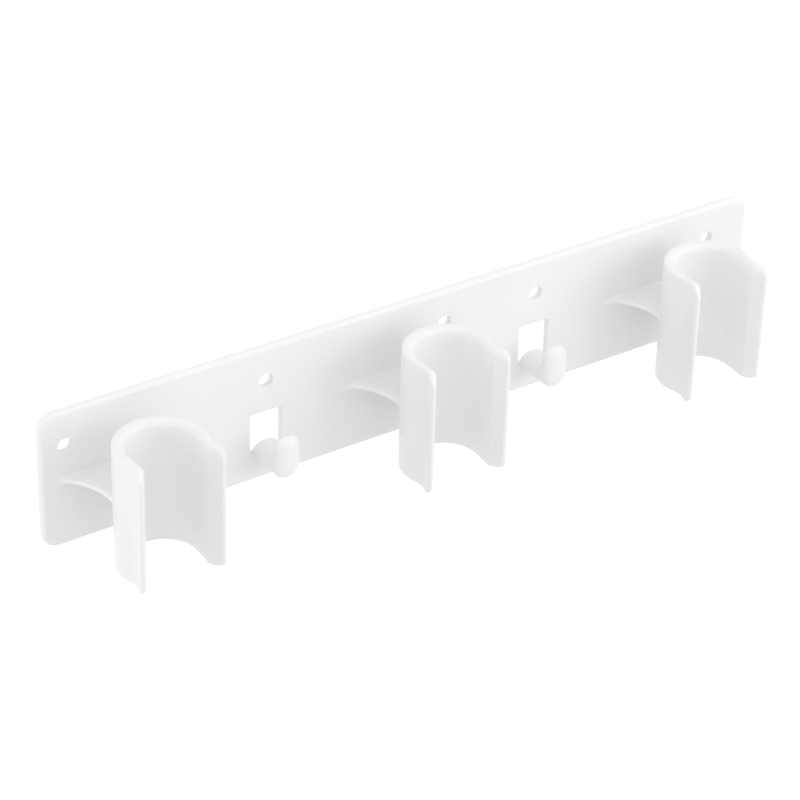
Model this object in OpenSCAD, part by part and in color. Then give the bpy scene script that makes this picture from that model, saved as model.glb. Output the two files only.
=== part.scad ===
// Wall rack for mops and brooms: a long back plate that carries three open-fronted
// spring sleeves on horizontal webs, and two hooks below square windows.
// Millimetres. X runs along the plate, the wall is at y = 0 and the rack stands out
// towards -Y. The origin is on the back face, at the plate's mid height, behind the
// centre sleeve.

/* [Plate] */
// Height of the back plate
plate_h = 75; // [66:1:100]
// Thickness of the back plate
plate_t = 4; // [3.5:0.5:6]
// Distance from the left sleeve's axis to the plate's left end
left_margin = 43; // [42:1:90]
// Distance from the right sleeve's axis to the plate's right end
right_margin = 56; // [42:1:90]
// Corner radius of the plate, seen from the front
plate_corner_r = 9; // [4:0.5:14]
// Rounding of the plate's front edge
plate_edge_r = 2.5; // [0.5:0.5:3]

/* [Screw holes] */
// Diameter of the screw holes
hole_d = 7.5; // [4:0.5:9]
// Height of the row of holes above the plate's mid height
hole_z = 18.5; // [12:0.5:26]
// Distance of an end hole from the outer sleeve's axis
end_hole_offset = 29.5; // [27:0.5:36]
// Distance of the middle hole from the centre sleeve's axis
middle_hole_offset = 24; // [22:1:50]

/* [Windows] */
// Width of a window
window_w = 17; // [15:0.5:26]
// Height of a window
window_h = 21.5; // [16:0.5:26]
// Height of a window's top edge above the plate's mid height
window_top = 0.5; // [-4:0.5:4]
// Corner radius of a window
window_corner_r = 1; // [0.5:0.5:3]

/* [Sleeves] */
// Distance between the axes of neighbouring sleeves
sleeve_pitch = 160; // [140:1:240]
// Diameter of a sleeve's round bore
bore_d = 34.5; // [26:0.5:36]
// Thickness of a sleeve's wall round the back of the bore
sleeve_wall = 6; // [4:0.25:8]
// Height of a sleeve
sleeve_h = 67.5; // [50:0.5:90]
// Height of a sleeve's top edge above the plate's mid height
sleeve_top = 32.5; // [20:0.5:37]
// Distance from the plate's front face to a sleeve's axis
axis_standoff = 39; // [34:0.5:50]

/* [Spring arms] */
// Angle from the back of the bore to the line where an arm bends
arm_root_angle = 80; // [74:1:88]
// Angle from the back of the bore to where an arm's outer side turns straight
side_angle = 91; // [90:1:96]
// Length of an arm's straight outer side
side_length = 18.5; // [14:0.5:22]
// Angle from the back of the bore to where an arm's inner side turns straight
neck_angle = 93; // [91:1:98]
// Share of the outer side's length that the inner side runs straight, up to the neck
neck_share = 0.62; // [0.4:0.02:0.7]
// Radius of the rounded neck
neck_r = 3.5; // [2.5:0.5:6]
// Radius of an arm's round front end
tip_r = 1.25; // [1:0.25:3]
// Radius of a lip's upper front corner
lip_corner_r = 5.5; // [2:0.5:8]
// Radius of a lip's lower front corner
lip_foot_r = 4.5; // [2:0.5:8]
// Clearance round an arm's root
root_gap = 0.3; // [0.3:0.1:0.6]

/* [Webs] */
// Thickness of a web
web_t = 2.5; // [2:0.5:6]
// Height of a web's upper face above the plate's mid height
web_top = 0.5; // [-8:0.5:8]
// Half width of a web where it meets the plate
web_foot = 38; // [32:1:43]
// Angle from the back of the bore to where a web's edge meets the sleeve
web_angle = 60; // [55:1:70]

/* [Hooks] */
// Width of a hook
hook_w = 14.5; // [10:0.5:17]
// Distance from the plate's front face to the hook's outer face
hook_reach = 22; // [14:0.5:28]
// Thickness of the upturned tab
tab_t = 4.5; // [3:0.5:6]
// Depth of the tab's tip below the window's top edge
tab_drop = 2.5; // [1:0.5:8]
// Depth of the tab's lower end below the window's lower edge
tab_foot = 6; // [5:0.5:12]
// Height of the arm's top above the window's lower edge
arm_rise = 6; // [1:0.5:8]

/* [Hidden] */
$fn = 96;

// Overrun of every cut past the face that it leaves
overrun = 1;
// Number of straight steps in a web's curved edge
web_steps = 24;
// Angle between neighbouring points of an arm's curves
arc_step = 5;

// Places along the plate, of the sleeves (-1, 0, 1) and of the windows with their hooks
left_x = -sleeve_pitch;
right_x = sleeve_pitch;
hook_x = sleeve_pitch / 2;
plate_x0 = left_x - left_margin;
plate_x1 = right_x + right_margin;
plate_w = plate_x1 - plate_x0;
front_y = -plate_t;

// Sleeve
bore_r = bore_d / 2;
outer_r = bore_r + sleeve_wall;
middle_r = bore_r + sleeve_wall / 2;
axis_y = front_y - axis_standoff;
sleeve_bottom = sleeve_top - sleeve_h;
sleeve_middle = sleeve_top - sleeve_h / 2;

// Arm, seen from above with the sleeve's axis at zero and the wall towards +Y
function polar(angle, radius) = [radius * sin(angle), radius * cos(angle)];
function arc(centre, radius, from_angle, to_angle) =
    let (steps = ceil(abs(to_angle - from_angle) / arc_step))
        [
            for (step = [0:steps])
                centre + polar(from_angle + (to_angle - from_angle) * step / steps, radius)
        ];
arm_start = polar(arm_root_angle, middle_r);
side_end = polar(side_angle, outer_r) + polar(side_angle + 90, side_length);
tip_point = side_end - polar(side_angle, tip_r);
tip_y = tip_point[1] - tip_r;
neck_point = polar(neck_angle, bore_r + neck_r) + polar(neck_angle + 90, side_length * neck_share);
// Angle by which a lip's inner face, level with the neck's and the tip's rounds, opens outwards
lip_run = tip_point - neck_point;
lip_flare = 270 - atan2(lip_run[0], lip_run[1]) - acos((neck_r - tip_r) / norm(lip_run));

// Web: each free edge is a quarter of an ellipse, level with the plate at its foot
web_end = polar(web_angle, outer_r);
web_run = axis_standoff - web_end[1];

// Hook
window_bottom = window_top - window_h;
tab_tip = window_top - tab_drop;
tab_bottom = window_bottom - tab_foot;
tab_h = tab_tip - tab_bottom;
tab_y = front_y - hook_reach;
arm_top = window_bottom + arm_rise;

// Section of the plate's rim: x outwards from the corner's centre, y from back to front
module rim_section() {
    square([plate_corner_r - plate_edge_r, plate_t]);
    square([plate_corner_r, plate_t - plate_edge_r]);
    intersection() {
        translate([plate_corner_r - plate_edge_r, plate_t - plate_edge_r])
            circle(plate_edge_r);
        square([plate_corner_r, plate_t]);
    }
}

// A straight stretch of the rim along X
module straight_rim(length) {
    rotate([90, 0, 90])
        linear_extrude(length)
            rim_section();
}

// The rounded plate, lying on its back with one corner's centre at zero
module lying_plate() {
    inner_w = plate_w - 2 * plate_corner_r;
    inner_h = plate_h - 2 * plate_corner_r;
    cube([inner_w, inner_h, plate_t]);
    for (corner = [[0, 0, 180], [inner_w, 0, 270], [inner_w, inner_h, 0], [0, inner_h, 90]])
        translate([corner[0], corner[1], 0])
            rotate(corner[2])
                rotate_extrude(angle = 90)
                    rim_section();
    translate([0, inner_h, 0])
        straight_rim(inner_w);
    translate([inner_w, 0, 0])
        rotate(180)
            straight_rim(inner_w);
    translate([inner_w, inner_h, 0])
        rotate(-90)
            straight_rim(inner_h);
    rotate(90)
        straight_rim(inner_h);
}

// Outline of a window, seen from the front
module window_outline() {
    straight_w = window_w - 2 * window_corner_r;
    straight_h = window_h - 2 * window_corner_r;
    translate([-window_w / 2, window_bottom + window_corner_r])
        square([window_w, straight_h]);
    translate([-straight_w / 2, window_bottom])
        square([straight_w, window_h]);
    for (side = [-1, 1], level = [window_bottom + window_corner_r, window_top - window_corner_r])
        translate([side * straight_w / 2, level])
            circle(window_corner_r);
}

// Turns a shape drawn in the front view into a cut through the plate
module through_plate() {
    translate([0, overrun, 0])
        rotate([90, 0, 0])
            linear_extrude(plate_t + 2 * overrun)
                children();
}

module back_plate() {
    hole_places = [
        left_x - end_hole_offset, -hook_x, middle_hole_offset, hook_x, right_x + end_hole_offset
    ];
    color("white")
        difference() {
            translate([plate_x0 + plate_corner_r, 0, plate_corner_r - plate_h / 2])
                rotate([90, 0, 0])
                    lying_plate();
            for (x = [-hook_x, hook_x])
                translate([x, 0, 0])
                    through_plate()
                        window_outline();
            for (x = hole_places)
                translate([x, 0, hole_z])
                    through_plate()
                        circle(d = hole_d);
        }
}

// A horizontal web between the plate and a sleeve's back
module web(x) {
    edge = [
        for (step = [0:web_steps])
            let (turn = 90 * (1 - step / web_steps))
                [
                    web_foot - (web_foot - web_end[0]) * cos(turn),
                    -web_run * (1 - sin(turn))
                ]
    ];
    mirrored = [for (step = [web_steps:-1:0]) [-edge[step][0], edge[step][1]]];
    color("white")
        difference() {
            translate([x, front_y, web_top - web_t])
                linear_extrude(web_t)
                    polygon(concat(edge, mirrored));
            translate([x, axis_y, sleeve_bottom])
                cylinder(r = outer_r, h = sleeve_h);
        }
}

// A stretch of wall curved about zero, between two angles from +Y, seen from above
module curved_wall(radius, from_angle, to_angle) {
    middle_angle = (from_angle + to_angle) / 2;
    reach = 2 * radius;
    intersection() {
        difference() {
            circle(radius + sleeve_wall / 2);
            circle(radius - sleeve_wall / 2);
        }
        polygon([
            [0, 0],
            polar(from_angle, reach),
            polar(middle_angle, reach),
            polar(to_angle, reach)
        ]);
    }
}

// The fixed back of a sleeve, hollowed at both ends round the arms' roots
module sleeve_back(x) {
    color("white")
        translate([x, axis_y, sleeve_bottom])
            linear_extrude(sleeve_h)
                difference() {
                    union() {
                        curved_wall(middle_r, -arm_root_angle, 0);
                        curved_wall(middle_r, 0, arm_root_angle);
                    }
                    for (side = [-1, 1])
                        translate(polar(side * arm_root_angle, middle_r))
                            circle(sleeve_wall / 2 + root_gap);
                }
}

// A right-hand spring arm seen from above: straight outer side, round front end, lip, neck,
// straight inner side, side of the bore and round root
module arm_plan() {
    polygon(concat(
        arc([0, 0], outer_r, arm_root_angle, side_angle),
        arc(tip_point, tip_r, side_angle, 270 - lip_flare),
        arc(neck_point, neck_r, 270 - lip_flare, neck_angle + 180),
        arc([0, 0], bore_r, neck_angle, arm_root_angle),
        arc(arm_start, sleeve_wall / 2, arm_root_angle + 180 + arc_step, arm_root_angle + 360 - arc_step)
    ));
}

// What is cut off a lip's lower front corner, seen from the side
module corner_cut(radius) {
    difference() {
        translate([-overrun, -overrun])
            square(radius + overrun);
        translate([radius, radius])
            circle(radius);
    }
}

// A spring arm of the sleeve at x, on its right (side 1) or left (side -1)
module spring_arm(x, side) {
    width = tip_point[0] + sleeve_wall;
    color("white")
        translate([x, axis_y, sleeve_middle])
            mirror([side < 0 ? 1 : 0, 0, 0])
                difference() {
                    linear_extrude(sleeve_h, center = true)
                        arm_plan();
                    for (end = [0, 1])
                        mirror([0, 0, end])
                            translate([0, tip_y, -sleeve_h / 2])
                                rotate([90, 0, 90])
                                    linear_extrude(width)
                                        corner_cut(end == 0 ? lip_foot_r : lip_corner_r);
                }
}

// Outline of a hook's tab with its tip at the given height, round at both ends
module tab_outline(tip) {
    tab_r = hook_w / 2;
    translate([-tab_r, tip - tab_h + tab_r])
        square([hook_w, tab_h - hook_w]);
    for (level = [tip - tab_h + tab_r, tip - tab_r])
        translate([0, level])
            circle(tab_r);
}

// The arm of a hook: round on top, and round below as the tab is
module hook_arm() {
    translate([0, front_y, 0])
        rotate([90, 0, 0])
            linear_extrude(hook_reach - tab_t)
                intersection() {
                    tab_outline(tab_tip);
                    tab_outline(arm_top);
                }
}

// The upturned tab of a hook
module hook_tab() {
    translate([0, tab_y + tab_t, 0])
        rotate([90, 0, 0])
            linear_extrude(tab_t)
                tab_outline(tab_tip);
}

module hook(x) {
    color("white")
        translate([x, 0, 0]) {
            hook_arm();
            hook_tab();
        }
}

back_plate();
web(left_x);  // left_web
web(0);  // centre_web
web(right_x);  // right_web
sleeve_back(left_x);  // left_sleeve_back
sleeve_back(0);  // centre_sleeve_back
sleeve_back(right_x);  // right_sleeve_back
spring_arm(left_x, -1);  // left_sleeve_left_arm
spring_arm(left_x, 1);  // left_sleeve_right_arm
spring_arm(0, -1);  // centre_sleeve_left_arm
spring_arm(0, 1);  // centre_sleeve_right_arm
spring_arm(right_x, -1);  // right_sleeve_left_arm
spring_arm(right_x, 1);  // right_sleeve_right_arm
hook(-hook_x);  // left_hook
hook(hook_x);  // right_hook
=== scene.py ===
"""Looks of the wall rack: one white moulding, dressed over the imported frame.

Metres and degrees, in the row frame: X along the plate, +Y into the wall, Z up.
"""

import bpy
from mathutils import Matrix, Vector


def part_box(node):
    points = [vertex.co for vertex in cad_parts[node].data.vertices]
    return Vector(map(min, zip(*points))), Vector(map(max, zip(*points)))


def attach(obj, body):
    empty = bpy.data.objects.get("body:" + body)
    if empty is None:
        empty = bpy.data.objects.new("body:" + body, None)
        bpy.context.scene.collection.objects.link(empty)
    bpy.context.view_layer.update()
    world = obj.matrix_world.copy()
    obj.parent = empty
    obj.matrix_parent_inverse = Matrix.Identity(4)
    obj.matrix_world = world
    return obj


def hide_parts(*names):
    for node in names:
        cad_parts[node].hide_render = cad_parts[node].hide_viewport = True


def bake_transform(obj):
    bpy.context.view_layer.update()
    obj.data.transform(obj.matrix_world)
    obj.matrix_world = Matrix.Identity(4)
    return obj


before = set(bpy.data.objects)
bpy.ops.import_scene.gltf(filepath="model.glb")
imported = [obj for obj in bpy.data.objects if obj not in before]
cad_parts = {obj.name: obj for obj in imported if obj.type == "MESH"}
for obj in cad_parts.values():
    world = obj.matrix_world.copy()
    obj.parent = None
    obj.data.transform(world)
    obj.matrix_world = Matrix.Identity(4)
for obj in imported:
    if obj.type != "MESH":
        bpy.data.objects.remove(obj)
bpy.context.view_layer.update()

import math

import bmesh
import bpy
import numpy as np
from mathutils import Matrix, Vector
from mathutils.geometry import delaunay_2d_cdt

MM = 0.001
SCENE = bpy.context.scene

# Meshes
WELD = 1e-6
TINY = 1e-9
SHARP_ANGLE = 40
FLAT_WEIGHT = 100
TRIANGLES_WITHIN = 1

# Plate
PLATE_CORNER_R = 9 * MM
PLATE_FRONT_R = 2.5 * MM
PLATE_BACK_R = 0.4 * MM
PLATE_CORNER_STEPS = 14
PLATE_EDGE_STEPS = 10
BACK_EDGE_STEPS = 2
HOLE_R = 3.75 * MM
HOLE_Z = 18.5 * MM
HOLE_FRONT_R = 0.6 * MM
HOLE_BACK_R = 0.3 * MM
HOLE_POINTS = 48
HOLE_EDGE_STEPS = 4
END_HOLE_OFFSET = 29.5 * MM
MIDDLE_HOLE_OFFSET = 24 * MM
WINDOW_W = 17 * MM
WINDOW_H = 21.5 * MM
WINDOW_TOP = 0.5 * MM
WINDOW_CORNER_R = 1.2 * MM
WINDOW_FRONT_R = 1.4 * MM
WINDOW_BACK_R = 1.4 * MM
WINDOW_CORNER_STEPS = 6
WINDOW_EDGE_STEPS = 6

# Sleeves in plan
BORE_R = 17.25 * MM
WALL = 6 * MM
OUTER_R = BORE_R + WALL
ROOT_ANGLE = 80
SIDE_ANGLE = 91
SIDE_LENGTH = 18.5 * MM
NECK_ANGLE = 93
NECK_SHARE = 0.62
NECK_R = 3.5 * MM
TIP_R = 1.25 * MM
WAIST_DEPTH = 1.8 * MM
WAIST_SKEW = 1.4
SEAM_ANGLES = (0, 0.2, 0.8)
BACK_ANGLE_STEP = 2
ARC_POINTS = 12
NECK_POINTS = 24
SIDE_STEPS = 64
TIP_POINTS = 13

# Sleeves' edges
LIP_CORNER_R = 5.5 * MM
LIP_FOOT_R = 4.5 * MM
RIM_INNER_R = 3.5 * MM
RIM_OUTER_R = 1.2 * MM
RIM_POINTS = 8
FOOT_SHARE = 0.4

# Webs
WEB_ANGLE = 60
WEB_PLATE_FILLET = 1.4 * MM
WEB_SLEEVE_FILLET = 1.8 * MM
WEB_EDGE_R = 1.5 * MM
WEB_BITE = 0.8 * MM
WEB_COLUMNS = 61
WEB_ROWS = 41
WEB_EDGE_POINTS = 401
WEB_SIDE_DENSITY = 2.2
WEB_END_DENSITY = 1.6
WEB_SHARP_ANGLE = 60

# Hooks
TAB_T = 4.5 * MM
TAB_FRONT_R = 3.8 * MM
TAB_DOME = 6.4 * MM
TAB_BACK_R = 0.7 * MM
TAB_TOP_DROP = 1.2 * MM
TAB_TOP_SQUARENESS = 2.4
TAB_FOOT_SQUARENESS = 2
TAB_EDGE_POINTS = 11
TAB_END_POINTS = 33
ARM_RISE = 6 * MM
ARM_RINGS = 49
ARM_RING_POINTS = 64
ROOT_R = 3 * MM
ROOT_WIDER = 1 * MM
ROOT_LOWER = 1 * MM
ROOT_SQUARENESS = 2
END_SQUARENESS = 5
SADDLE_R = 9 * MM
HOOK_BITE = 1 * MM
HOOK_VOXEL = 0.32 * MM
HOOK_SMOOTHING = 30
HOOK_SMOOTH_FACTOR = 0.5

# Plastic
BODY_DARK = (0.871, 0.874, 0.872)
BODY_LIGHT = (0.9, 0.902, 0.9)
# Painted highlight: the lighter colour that convex edges are drawn towards
EDGE_HIGHLIGHT_COLOUR = (0.925, 0.925, 0.92)
FLOW_MARKS = {"Scale": 22.0, "Detail": 3.0, "Roughness": 0.55}
SCUFFS = {"Scale": 420.0, "Detail": 4.0, "Roughness": 0.6}
GRAIN = {"Scale": 2600.0, "Detail": 2.0, "Roughness": 0.5}
GRAIN_BUMP = {"Strength": 0.06, "Distance": 0.1 * MM}
NOISE_LOW, NOISE_HIGH = 0.3, 0.7
# Pointiness range that marks convex edges for the painted highlight and the smoother roughness
FLAT_POINTINESS, EDGE_POINTINESS = 0.506, 0.545
SMOOTHEST, ROUGHEST = 0.38, 0.48
EDGE_POLISH = 0.12
# Numbers of a Mix node's colour sockets
MIX_A, MIX_B, MIX_RESULT = 6, 7, 2

# Floor and light, with each lamp's name, place, aim, width, height and watts
WHITE = (1, 1, 1, 1)
FLOOR_DROP = 0.9
FLOOR_HALF = 6.0
FLOOR_COLOUR = (0.82, 0.82, 0.82, 1)
FLOOR_ROUGHNESS = 0.9
FLOOR_LIFT = 0.45
WORLD_LIGHT = 0.89
WORLD_SEEN = 1.0
LAMPS = (
    ("front_right", (0.7, -1.1, 0.4), (0, 0, 0), 0.8, 0.8, 3.6),
    ("left", (-0.9, 0.1, 0.05), (-0.183, -0.04, 0), 0.3, 0.6, 1),
    ("above", (0.1, -0.2, 1.1), (0, -0.03, 0), 1.2, 0.8, 0.8),
)

# Camera, fitted to the photograph
CAMERA_PLACE = (-0.732663, -1.077425, 0.815157)
CAMERA_YAW = 34.26
CAMERA_PITCH = 32.7
CAMERA_ROLL = 1.692
CAMERA_LENS = 138.43
CAMERA_SENSOR = 36
CAMERA_FAR = 100

# Places taken from the frame
plate_lo, plate_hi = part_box("back_plate")
FRONT_Y = plate_lo.y
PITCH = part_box("right_web")[1].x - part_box("centre_web")[1].x
HOOK_X = PITCH / 2


def sleeve_axis(name):
    """Where a sleeve's axis is in plan."""
    lo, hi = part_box(f"{name}_sleeve_back")
    return (lo.x + hi.x) / 2, hi.y - OUTER_R


# Shared shapes and meshes
def polar(angle, radius):
    """A point in plan, at an angle in degrees from +Y towards +X."""
    turn = math.radians(angle)
    return np.array([radius * math.sin(turn), radius * math.cos(turn)])


def fillet(distance, radius):
    """Height of a round fillet at a distance from the face that it runs into."""
    gap = np.clip(1 - distance / radius, 0, 1)
    return radius * (1 - np.sqrt(np.clip(1 - gap ** 2, 0, 1)))


def superellipse(turn, square):
    """A point on a unit ring that is round at a squareness of 2 and fuller in the corners above it."""
    across, up = math.cos(turn), math.sin(turn)
    reach = (abs(across) ** square + abs(up) ** square) ** (-1 / square)
    return reach * across, reach * up


def mesh_object(name, verts, faces, sharp=SHARP_ANGLE):
    """A shaded mesh object, with double points welded and normals outwards."""
    mesh = bpy.data.meshes.new(name)
    mesh.from_pydata([tuple(v) for v in verts], [], faces)
    work = bmesh.new()
    work.from_mesh(mesh)
    bmesh.ops.remove_doubles(work, verts=work.verts, dist=WELD)
    bmesh.ops.dissolve_degenerate(work, edges=work.edges, dist=WELD)
    bmesh.ops.recalc_face_normals(work, faces=work.faces)
    work.to_mesh(mesh)
    work.free()
    mesh.shade_smooth()
    mesh.set_sharp_from_angle(angle=math.radians(sharp))
    obj = bpy.data.objects.new(name, mesh)
    SCENE.collection.objects.link(obj)
    return obj


def flat_normals(obj):
    """Keeps large flat faces flat next to narrow rounded ones."""
    weighted = obj.modifiers.new("flat_faces", "WEIGHTED_NORMAL")
    weighted.keep_sharp = True
    weighted.weight = FLAT_WEIGHT


def ring_faces(first, second, count):
    """Quads between two closed rings of points, given by the number of their first point."""
    return [
        (first + k, first + (k + 1) % count, second + (k + 1) % count, second + k)
        for k in range(count)
    ]


# Plate
def rounded_outline(x0, x1, z0, z1, radius, steps):
    """Points round a rectangle with round corners, in the front view."""
    points = []
    for cx, cz, start in (
        (x1 - radius, z1 - radius, 0),
        (x0 + radius, z1 - radius, 90),
        (x0 + radius, z0 + radius, 180),
        (x1 - radius, z0 + radius, 270),
    ):
        for k in range(steps + 1):
            turn = math.radians(start + 90 * k / steps)
            points.append((cx + radius * math.cos(turn), cz + radius * math.sin(turn)))
    return points


def plate_outline(inset):
    """The plate's outline, drawn in by an inset."""
    return rounded_outline(
        plate_lo.x + inset, plate_hi.x - inset, plate_lo.z + inset, plate_hi.z - inset,
        PLATE_CORNER_R - inset, PLATE_CORNER_STEPS,
    )


def hole_outline(x):
    """A screw hole's outline, for any amount that it is opened up."""
    def outline(grow):
        radius = HOLE_R + grow
        turns = np.linspace(0, 2 * math.pi, HOLE_POINTS, endpoint=False)
        return [(x + radius * math.cos(t), HOLE_Z + radius * math.sin(t)) for t in turns]
    return outline


def window_outline(x):
    """A window's outline, for any amount that it is opened up."""
    def outline(grow):
        return rounded_outline(
            x - WINDOW_W / 2 - grow, x + WINDOW_W / 2 + grow,
            WINDOW_TOP - WINDOW_H - grow, WINDOW_TOP + grow,
            WINDOW_CORNER_R + grow, WINDOW_CORNER_STEPS,
        )
    return outline


def edge_profile(front_r, back_r, steps):
    """Rows of a wall through the plate, from front to back: its distance from the edge, and Y."""
    rows = []
    for k in range(steps + 1):
        turn = math.radians(90 * k / steps)
        rows.append((front_r * (1 - math.sin(turn)), FRONT_Y + front_r * (1 - math.cos(turn))))
    for k in range(BACK_EDGE_STEPS + 1):
        turn = math.radians(90 * k / BACK_EDGE_STEPS)
        rows.append((back_r * (1 - math.cos(turn)), plate_hi.y - back_r * (1 - math.sin(turn))))
    return rows


def is_within(point, outline):
    """Whether a point lies within a convex outline."""
    signs = []
    for a, b in zip(outline, outline[1:] + outline[:1]):
        if (b - a).length > TINY:
            signs.append((b - a).cross(point - a) > 0)
    return all(signs) or not any(signs)


def flat_face(verts, loops):
    """Triangles of a face with openings. Each loop is its first point and count, the outer one first."""
    index, edges, starts = [], [], []
    for first, count in loops:
        base = len(index)
        starts.append(base)
        index += range(first, first + count)
        edges += [(base + k, base + (k + 1) % count) for k in range(count)]
    flat = [Vector((verts[i][0], verts[i][2])) for i in index]
    openings = [flat[start:start + count] for start, (_, count) in zip(starts[1:], loops[1:])]
    points, _, triangles, sources, _, _ = delaunay_2d_cdt(flat, edges, [], TRIANGLES_WITHIN, TINY)
    faces = []
    for triangle in triangles:
        middle = sum((points[v] for v in triangle), Vector((0, 0))) / 3
        if not any(is_within(middle, opening) for opening in openings):
            faces.append(tuple(index[sources[v][0]] for v in triangle))
    return faces


def plate_piece():
    """The back plate, with soft edges round its outline, its screw holes and its windows."""
    holes = [-PITCH - END_HOLE_OFFSET, -HOOK_X, MIDDLE_HOLE_OFFSET, HOOK_X, PITCH + END_HOLE_OFFSET]
    windows = [-HOOK_X, HOOK_X]
    loops = [(plate_outline, PLATE_FRONT_R, PLATE_BACK_R, PLATE_EDGE_STEPS)]
    loops += [(hole_outline(x), HOLE_FRONT_R, HOLE_BACK_R, HOLE_EDGE_STEPS) for x in holes]
    loops += [(window_outline(x), WINDOW_FRONT_R, WINDOW_BACK_R, WINDOW_EDGE_STEPS) for x in windows]
    verts, faces, front_loops, back_loops = [], [], [], []
    for outline, front_r, back_r, steps in loops:
        firsts = []
        for inset, y in edge_profile(front_r, back_r, steps):
            points = outline(inset)
            firsts.append(len(verts))
            verts += [(x, y, z) for x, z in points]
        for first, second in zip(firsts, firsts[1:]):
            faces += ring_faces(first, second, len(points))
        front_loops.append((firsts[0], len(points)))
        back_loops.append((firsts[-1], len(points)))
    faces += flat_face(verts, front_loops) + flat_face(verts, back_loops)
    obj = mesh_object("plate", verts, faces)
    flat_normals(obj)
    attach(obj, "rack")
    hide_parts("back_plate")
    return obj


# Sleeves
def arc(centre, radius, start, end, count):
    """Points in plan along an arc, from one angle to another."""
    return [centre + polar(angle, radius) for angle in np.linspace(start, end, count)]


def along(points, shares):
    """Points at shares of a broken line's length."""
    points = np.array(points)
    walked = np.concatenate([[0], np.cumsum(np.linalg.norm(np.diff(points, axis=0), axis=1))])
    places = np.array(shares) * walked[-1]
    return np.stack([np.interp(places, walked, points[:, k]) for k in (0, 1)], 1)


def sleeve_sides():
    """Pairs of points on the inner and outer sides of a right-hand half of the wall, from the back
    to the front end, seen from above with the sleeve's axis at zero."""
    axis = np.zeros(2)
    tip = polar(SIDE_ANGLE, OUTER_R - TIP_R) + polar(SIDE_ANGLE + 90, SIDE_LENGTH)
    neck = polar(NECK_ANGLE, BORE_R + NECK_R) + polar(NECK_ANGLE + 90, SIDE_LENGTH * NECK_SHARE)
    # The lip's inner face is a common tangent of the rounds at the neck and the tip
    run = tip - neck
    slant = math.acos((NECK_R - TIP_R) / np.linalg.norm(run))
    lip = math.degrees(math.atan2(run[0], run[1]) + slant)
    front = (SIDE_ANGLE + lip) / 2
    angles = [*SEAM_ANGLES, *range(BACK_ANGLE_STEP, ROOT_ANGLE + 1, BACK_ANGLE_STEP)]
    pairs = [(polar(angle, BORE_R), polar(angle, OUTER_R)) for angle in angles]
    inner = arc(axis, BORE_R, ROOT_ANGLE, NECK_ANGLE, ARC_POINTS)
    inner += arc(neck, NECK_R, NECK_ANGLE + 180, lip, NECK_POINTS)
    inner.append(tip + polar(lip, TIP_R))
    outer = arc(axis, OUTER_R, ROOT_ANGLE, SIDE_ANGLE, ARC_POINTS)
    outer.append(tip + polar(SIDE_ANGLE, TIP_R))
    shares = np.linspace(0, 1, SIDE_STEPS + 1)[1:]
    waisted = along(outer, shares)
    waisted[:, 0] -= WAIST_DEPTH * np.sin(math.pi * shares ** WAIST_SKEW) ** 2
    pairs += zip(along(inner, shares), waisted)
    inner_tip = arc(tip, TIP_R, lip, front, TIP_POINTS)
    outer_tip = arc(tip, TIP_R, SIDE_ANGLE, front, TIP_POINTS)
    pairs += zip(inner_tip[1:], outer_tip[1:])
    return pairs


def wall_section(thick):
    """Points round the wall's section: share of the way out, 1 for the upper edge or -1 for the
    lower one, and distance from that edge."""
    turns = np.radians(np.linspace(0, 90, RIM_POINTS))
    points = []
    for edge, size in ((1, 1.0), (-1, FOOT_SHARE)):
        inside, outside = RIM_INNER_R * size, RIM_OUTER_R * size
        fit = min(1.0, thick / (inside + outside))
        inside, outside = inside * fit, outside * fit
        over = [(inside * (1 - math.cos(t)), inside * (1 - math.sin(t))) for t in turns]
        over += [(thick - outside * (1 - math.cos(t)), outside * (1 - math.sin(t))) for t in turns[::-1]]
        points += [(x / max(thick, TINY), edge, depth) for x, depth in over[::edge]]
    return points


def sleeve_half(name, side):
    """One half of a sleeve's wall, over the fixed back and the arm."""
    lo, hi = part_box(f"{name}_sleeve_back")
    axis_x, axis_y = sleeve_axis(name)
    pairs = sleeve_sides()
    tip_y = pairs[-1][0][1]
    verts, faces = [], []
    for inner, outer in pairs:
        section = wall_section(np.linalg.norm(outer - inner))
        first = len(verts)
        for share, edge, depth in section:
            x, y = inner + (outer - inner) * share
            if edge > 0:
                z = hi.z - fillet(y - tip_y, LIP_CORNER_R) - depth
            else:
                z = lo.z + fillet(y - tip_y, LIP_FOOT_R) + depth
            verts.append((axis_x + side * x, axis_y + y, z))
        if first:
            faces += ring_faces(first - len(section), first, len(section))
    faces.append(tuple(range(len(section))))
    word = "right" if side > 0 else "left"
    obj = mesh_object(f"{name}_sleeve_{word}_half", verts, faces)
    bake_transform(obj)
    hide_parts(f"{name}_sleeve_back", f"{name}_sleeve_{word}_arm")
    return obj


# Webs
def spread(count, dense):
    """Shares from 0 to 1, closer together towards both ends."""
    t = np.linspace(-1, 1, count)
    return 0.5 + 0.5 * np.tanh(dense * t) / math.tanh(dense)


def grid_shell(grid, height, origin):
    """A closed shell over a grid of points in plan, as far above the origin's level as below it."""
    rows, columns = height.shape
    number = np.arange(rows * columns).reshape(rows, columns)
    under = rows * columns
    verts = []
    for sign in (1, -1):
        for (x, y), rise in zip(grid.reshape(-1, 2), height.ravel()):
            verts.append((origin[0] + x, origin[1] + y, origin[2] + sign * rise))
    faces = []
    for a in number[:-1, :-1].ravel().tolist():
        b, c, d = a + 1, a + columns + 1, a + columns
        faces += [(a, b, c, d), (under + a, under + d, under + c, under + b)]
    sides = (number[0], number[1:, -1], number[-1, -2::-1], number[-2:0:-1, 0])
    rim = np.concatenate(sides).tolist()
    faces += [(a, under + a, under + b, b) for a, b in zip(rim, rim[1:] + rim[:1])]
    return verts, faces


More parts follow.
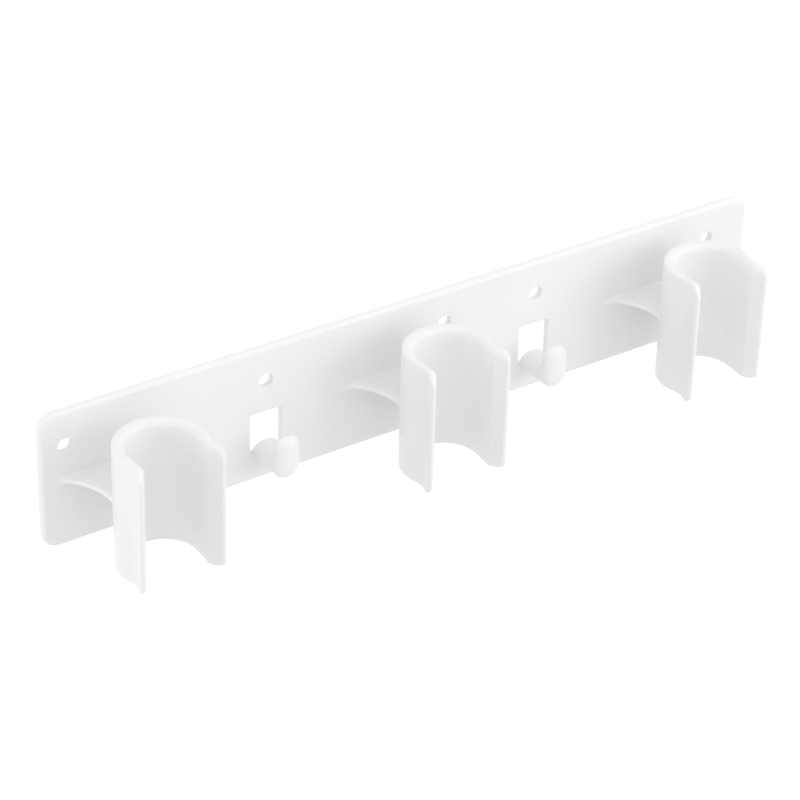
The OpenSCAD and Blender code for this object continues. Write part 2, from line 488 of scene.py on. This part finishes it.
def web_piece(name):
    """The shelf from the plate to a sleeve, with hollow free edges and a fillet at each end."""
    lo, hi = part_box(f"{name}_web")
    axis_x, axis_y = sleeve_axis(name)
    foot = (hi.x - lo.x) / 2
    end = polar(WEB_ANGLE, OUTER_R)
    axis = np.array([0, axis_y - FRONT_Y])
    run = -axis[1] - end[1]

    def edge_at(v):
        """A point on the right-hand free edge, a quarter of an ellipse from plate to sleeve."""
        turn = math.radians(90 * (1 - v))
        return np.array([foot - (foot - end[0]) * math.cos(turn), -run * (1 - math.sin(turn))])

    def patch(u, v):
        """A point of the shelf, from the left free edge to the right one and from plate to sleeve."""
        side = np.array([2 * u - 1, 1])
        return edge_at(v) * side + v * (polar(WEB_ANGLE * side[0], OUTER_R) - end * side)

    across = spread(WEB_COLUMNS, WEB_SIDE_DENSITY)
    outwards = spread(WEB_ROWS, WEB_END_DENSITY)
    grid = np.array([[patch(u, v) for u in across] for v in outwards])
    to_plate = -grid[..., 1]
    to_sleeve = np.linalg.norm(grid - axis, axis=-1) - OUTER_R
    edge = np.array([edge_at(v) for v in np.linspace(0, 1, WEB_EDGE_POINTS)])
    edges = np.concatenate([edge, edge * np.array([-1, 1])])
    to_edge = np.min(np.linalg.norm(grid[:, :, None] - edges, axis=-1), -1)
    height = (hi.z - lo.z) / 2 - fillet(to_edge, WEB_EDGE_R)
    height += fillet(to_plate, WEB_PLATE_FILLET) + fillet(to_sleeve, WEB_SLEEVE_FILLET)
    first = grid[:1] + np.array([0, WEB_BITE])
    last = axis + (grid[-1:] - axis) * (1 - WEB_BITE / OUTER_R)
    grid = np.concatenate([first, grid, last])
    height = np.concatenate([height[:1], height, height[-1:]])
    verts, faces = grid_shell(grid, height, (axis_x, FRONT_Y, (hi.z + lo.z) / 2))
    obj = mesh_object(f"{name}_shelf", verts, faces, WEB_SHARP_ANGLE)
    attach(obj, "rack")
    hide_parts(f"{name}_web")
    return obj


# Hooks
def stack(rings):
    """A closed solid over a pile of rings with the same number of points."""
    count = len(rings[0])
    verts = [point for ring in rings for point in ring]
    faces = [tuple(range(count)), tuple(range(len(verts) - 1, len(verts) - 1 - count, -1))]
    for k in range(len(rings) - 1):
        faces += ring_faces(k * count, (k + 1) * count, count)
    return verts, faces


def hook_tab(x, lo, hi):
    """The upturned tab: round at both ends, with a domed front and soft back edges."""
    half = (hi.x - lo.x) / 2
    back = lo.y + TAB_T
    turns = np.radians(np.linspace(0, 90, TAB_EDGE_POINTS))
    rows = [(TAB_DOME * (1 - math.sin(t)), lo.y + TAB_FRONT_R * (1 - math.cos(t))) for t in turns]
    rows += [(TAB_BACK_R * (1 - math.cos(t)), back - TAB_BACK_R * (1 - math.sin(t))) for t in turns]
    ends = (
        (hi.z - TAB_TOP_DROP - half, 0, TAB_TOP_SQUARENESS),
        (lo.z + half, 180, TAB_FOOT_SQUARENESS),
    )
    rings = []
    for inset, y in rows:
        ring = []
        for level, start, square in ends:
            for turn in np.radians(start + np.linspace(0, 180, TAB_END_POINTS)):
                across, up = superellipse(turn, square)
                ring.append((x + (half - inset) * across, y, level + (half - inset) * up))
        rings.append(ring)
    return stack(rings)


def hook_arm(x, lo, hi):
    """The arm: an oval bar that grows wider into the plate and rises into the tab."""
    half = (hi.x - lo.x) / 2
    crown = WINDOW_TOP - WINDOW_H + ARM_RISE
    back = lo.y + TAB_T
    rings = []
    for y in np.linspace(FRONT_Y + HOOK_BITE, back - HOOK_BITE, ARM_RINGS):
        root = fillet(FRONT_Y - y, ROOT_R) / ROOT_R
        saddle = fillet(y - back, SADDLE_R)
        fuller = ROOT_SQUARENESS + (END_SQUARENESS - ROOT_SQUARENESS) * saddle / SADDLE_R
        wide = half + ROOT_WIDER * root
        top = crown + saddle
        low = lo.z - ROOT_LOWER * root
        ring = []
        for turn in np.linspace(0, 2 * math.pi, ARM_RING_POINTS, endpoint=False):
            across, up = superellipse(turn, fuller if math.sin(turn) > 0 else ROOT_SQUARENESS)
            ring.append((x + wide * across, y, (top + low) / 2 + (top - low) / 2 * up))
        rings.append(ring)
    return stack(rings)


def hook_piece(name):
    """A hook: its tab and arm grown together into one smooth skin."""
    lo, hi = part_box(f"{name}_hook")
    x = (lo.x + hi.x) / 2
    verts, faces = [], []
    for points, sides in (hook_tab(x, lo, hi), hook_arm(x, lo, hi)):
        base = len(verts)
        verts += points
        faces += [tuple(base + k for k in side) for side in sides]
    rough = mesh_object(f"{name}_hook_rough", verts, faces)
    remesh = rough.modifiers.new("grow_together", "REMESH")
    remesh.mode = "VOXEL"
    remesh.voxel_size = HOOK_VOXEL
    smooth = rough.modifiers.new("soften", "SMOOTH")
    smooth.factor = HOOK_SMOOTH_FACTOR
    smooth.iterations = HOOK_SMOOTHING
    bpy.context.view_layer.update()
    grown = rough.evaluated_get(bpy.context.evaluated_depsgraph_get())
    mesh = bpy.data.meshes.new_from_object(grown)
    bpy.data.objects.remove(rough)
    mesh.name = f"{name}_hanger"
    mesh.shade_smooth()
    obj = bpy.data.objects.new(f"{name}_hanger", mesh)
    SCENE.collection.objects.link(obj)
    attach(obj, "rack")
    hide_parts(f"{name}_hook")
    return obj


# Material
def plastic():
    """Satin white moulded plastic: faint flow marks, fine grain, a painted highlight on the edges in
    broken patches, and edges rubbed smoother.
    """
    material = bpy.data.materials.new("white_moulded_plastic")
    material.use_nodes = True
    tree = material.node_tree
    shader = tree.nodes["Principled BSDF"]
    link = tree.links.new
    place = tree.nodes.new("ShaderNodeTexCoord").outputs["Object"]

    def node(kind, values):
        made = tree.nodes.new(kind)
        for key, value in values.items():
            made.inputs[key].default_value = value
        return made

    def noise(values):
        made = node("ShaderNodeTexNoise", values)
        link(place, made.inputs["Vector"])
        return made.outputs["Fac"]

    def map_range(source, values):
        made = node("ShaderNodeMapRange", values)
        link(source, made.inputs["Value"])
        return made.outputs["Result"]

    def calculate(operation, first, second):
        made = tree.nodes.new("ShaderNodeMath")
        made.operation = operation
        link(first, made.inputs[0])
        link(second, made.inputs[1])
        return made.outputs[0]

    # Body colour, in faint flow marks
    body = tree.nodes.new("ShaderNodeValToRGB")
    stops = ((NOISE_LOW, BODY_DARK), (NOISE_HIGH, BODY_LIGHT))
    for stop, (position, colour) in zip(body.color_ramp.elements, stops):
        stop.position = position
        stop.color = (*colour, 1)
    link(noise(FLOW_MARKS), body.inputs["Fac"])

    # Edges, lightened in broken patches as a painted highlight
    geometry = tree.nodes.new("ShaderNodeNewGeometry")
    edges = {"From Min": FLAT_POINTINESS, "From Max": EDGE_POINTINESS}
    # Painted highlight on convex edges, broken into patches; the same mask also makes the edges
    # smoother, as wear
    edge_sheen_and_wear = map_range(geometry.outputs["Pointiness"], edges)
    scuffs = noise(SCUFFS)
    patchy_sheen_and_polish = calculate("MULTIPLY", edge_sheen_and_wear, scuffs)
    colour = tree.nodes.new("ShaderNodeMix")
    colour.data_type = "RGBA"
    link(patchy_sheen_and_polish, colour.inputs["Factor"])
    link(body.outputs["Color"], colour.inputs[MIX_A])
    colour.inputs[MIX_B].default_value = (*EDGE_HIGHLIGHT_COLOUR, 1)
    link(colour.outputs[MIX_RESULT], shader.inputs["Base Color"])

    # Roughness, uneven on the faces and smoother on the edges
    limits = {"From Min": NOISE_LOW, "From Max": NOISE_HIGH, "To Min": SMOOTHEST, "To Max": ROUGHEST}
    uneven = map_range(scuffs, limits)
    polish = map_range(patchy_sheen_and_polish, {"To Max": EDGE_POLISH})
    link(calculate("SUBTRACT", uneven, polish), shader.inputs["Roughness"])

    # Fine moulded grain
    bump = node("ShaderNodeBump", GRAIN_BUMP)
    link(noise(GRAIN), bump.inputs["Height"])
    link(bump.outputs["Normal"], shader.inputs["Normal"])
    return material


# Floor, world, lights and camera
def seen_directly(tree):
    """1 for rays from the camera, a mirror or glass, 0 for those that carry light."""
    path = tree.nodes.new("ShaderNodeLightPath")
    value = path.outputs["Is Camera Ray"]
    for kind in ("Is Glossy Ray", "Is Transmission Ray"):
        most = tree.nodes.new("ShaderNodeMath")
        most.operation = "MAXIMUM"
        tree.links.new(value, most.inputs[0])
        tree.links.new(path.outputs[kind], most.inputs[1])
        value = most.outputs[0]
    return value


def make_floor():
    """A wide pale floor, lifted to white where it is seen directly."""
    z = plate_lo.z - FLOOR_DROP
    corners = [(x * FLOOR_HALF, y * FLOOR_HALF, z) for x, y in ((-1, -1), (1, -1), (1, 1), (-1, 1))]
    mesh = bpy.data.meshes.new("floor")
    mesh.from_pydata(corners, [], [(0, 1, 2, 3)])
    floor = bpy.data.objects.new("floor", mesh)
    SCENE.collection.objects.link(floor)
    material = bpy.data.materials.new("pale_floor")
    material.use_nodes = True
    tree = material.node_tree
    shader = tree.nodes["Principled BSDF"]
    shader.inputs["Base Color"].default_value = FLOOR_COLOUR
    shader.inputs["Roughness"].default_value = FLOOR_ROUGHNESS
    shader.inputs["Emission Color"].default_value = WHITE
    lift = tree.nodes.new("ShaderNodeMath")
    lift.operation = "MULTIPLY"
    lift.inputs[1].default_value = FLOOR_LIFT
    tree.links.new(seen_directly(tree), lift.inputs[0])
    tree.links.new(lift.outputs[0], shader.inputs["Emission Strength"])
    mesh.materials.append(material)


def make_world():
    """White all round where it is seen directly, and a little less bright as light."""
    world = bpy.data.worlds.new("studio")
    world.use_nodes = True
    tree = world.node_tree
    background = tree.nodes["Background"]
    background.inputs["Color"].default_value = WHITE
    strength = tree.nodes.new("ShaderNodeMapRange")
    strength.inputs["To Min"].default_value = WORLD_LIGHT
    strength.inputs["To Max"].default_value = WORLD_SEEN
    tree.links.new(seen_directly(tree), strength.inputs["Value"])
    tree.links.new(strength.outputs["Result"], background.inputs["Strength"])
    SCENE.world = world


def softbox(name, place, aim, width, height, watts):
    """A rectangular lamp that faces its aim."""
    data = bpy.data.lights.new(name, "AREA")
    data.shape = "RECTANGLE"
    data.size = width
    data.size_y = height
    data.energy = watts
    lamp = bpy.data.objects.new(name, data)
    lamp.location = place
    lamp.rotation_euler = (Vector(aim) - Vector(place)).to_track_quat("-Z", "Y").to_euler()
    SCENE.collection.objects.link(lamp)


def make_camera():
    """The camera, turned by its yaw and pitch and rolled about its own line of sight."""
    yaw, pitch, roll = (math.radians(a) for a in (CAMERA_YAW, CAMERA_PITCH, CAMERA_ROLL))
    ahead = math.cos(pitch)
    forward = Vector((math.sin(yaw) * ahead, math.cos(yaw) * ahead, -math.sin(pitch)))
    level = Vector((math.cos(yaw), -math.sin(yaw), 0))
    upright = level.cross(forward)
    right = math.cos(roll) * level + math.sin(roll) * upright
    up = -math.sin(roll) * level + math.cos(roll) * upright
    turned = Matrix((right, up, -forward)).transposed().to_4x4()
    data = bpy.data.cameras.new("camera")
    data.sensor_width = CAMERA_SENSOR
    data.lens = CAMERA_LENS
    data.clip_end = CAMERA_FAR
    camera = bpy.data.objects.new("camera", data)
    camera.matrix_world = Matrix.Translation(CAMERA_PLACE) @ turned
    SCENE.collection.objects.link(camera)
    SCENE.camera = camera


# The scene
pieces = [plate_piece()]
for clip in ("left", "centre", "right"):
    pieces += [sleeve_half(clip, -1), sleeve_half(clip, 1), web_piece(clip)]
for hook in ("left", "right"):
    pieces.append(hook_piece(hook))
white = plastic()
for piece in pieces:
    piece.data.materials.append(white)
make_floor()
make_world()
for lamp in LAMPS:
    softbox(*lamp)
make_camera()
SCENE.view_settings.view_transform = "Standard"
